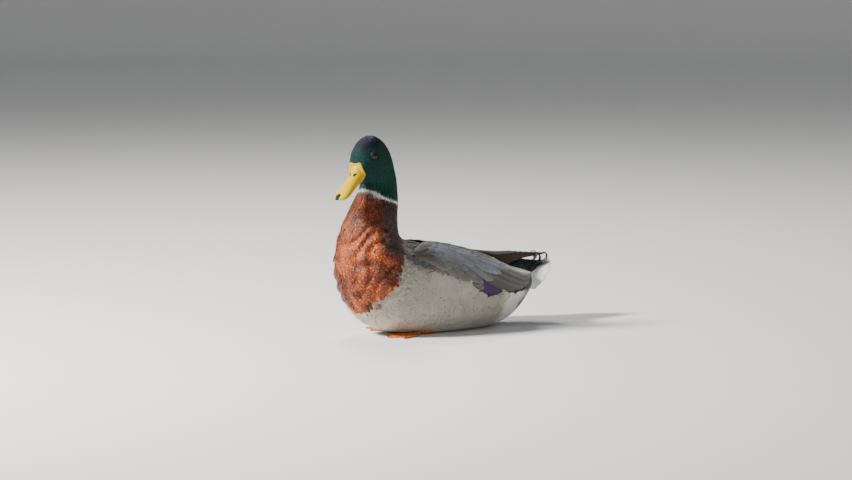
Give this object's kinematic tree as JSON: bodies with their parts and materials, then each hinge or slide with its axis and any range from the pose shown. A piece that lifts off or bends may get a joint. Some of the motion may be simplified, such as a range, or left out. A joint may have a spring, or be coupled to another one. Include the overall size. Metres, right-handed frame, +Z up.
{
  "type": "drake mallard duck model",
  "caption": "Life-size still model of a drake mallard resting on its belly, neck raised, head turned to its left, wings folded.",
  "frame": {"origin": "on the floor under the middle of the bird's overall box", "axes": "-Y the way the breast faces, +Y towards the tail, +X the bird's left, +Z up"},
  "size_m": [0.14, 0.3802, 0.265],
  "materials": {
    "green_plumage": "glossy dark green feathers with a purple sheen",
    "chestnut_plumage": "chestnut breast feathers",
    "grey_plumage": "pale grey feathers with fine dark wavy bars",
    "wing_plumage": "grey-brown wing feathers",
    "dusky_plumage": "dusky flight feathers",
    "white_plumage": "white feathers",
    "black_plumage": "glossy black feathers",
    "bill_horn": "satin yellow horn with a dark nail",
    "foot_skin": "scaly orange skin",
    "eye": "dark brown, wet gloss"
  },
  "bodies": {
    "root": {"trunk": "grey_plumage", "breast": "chestnut_plumage", "neck": "green_plumage", "head": "green_plumage", "bill_upper": "bill_horn", "bill_lower": "bill_horn", "tail": "white_plumage", "eye_left": "eye", "wing_left": "wing_plumage", "primaries_left": "dusky_plumage", "curl_left": "black_plumage", "foot_left": "foot_skin", "leg_left": "foot_skin", "eye_right": "eye", "wing_right": "wing_plumage", "primaries_right": "dusky_plumage", "curl_right": "black_plumage", "foot_right": "foot_skin", "leg_right": "foot_skin"}
  },
  "joints": []
}
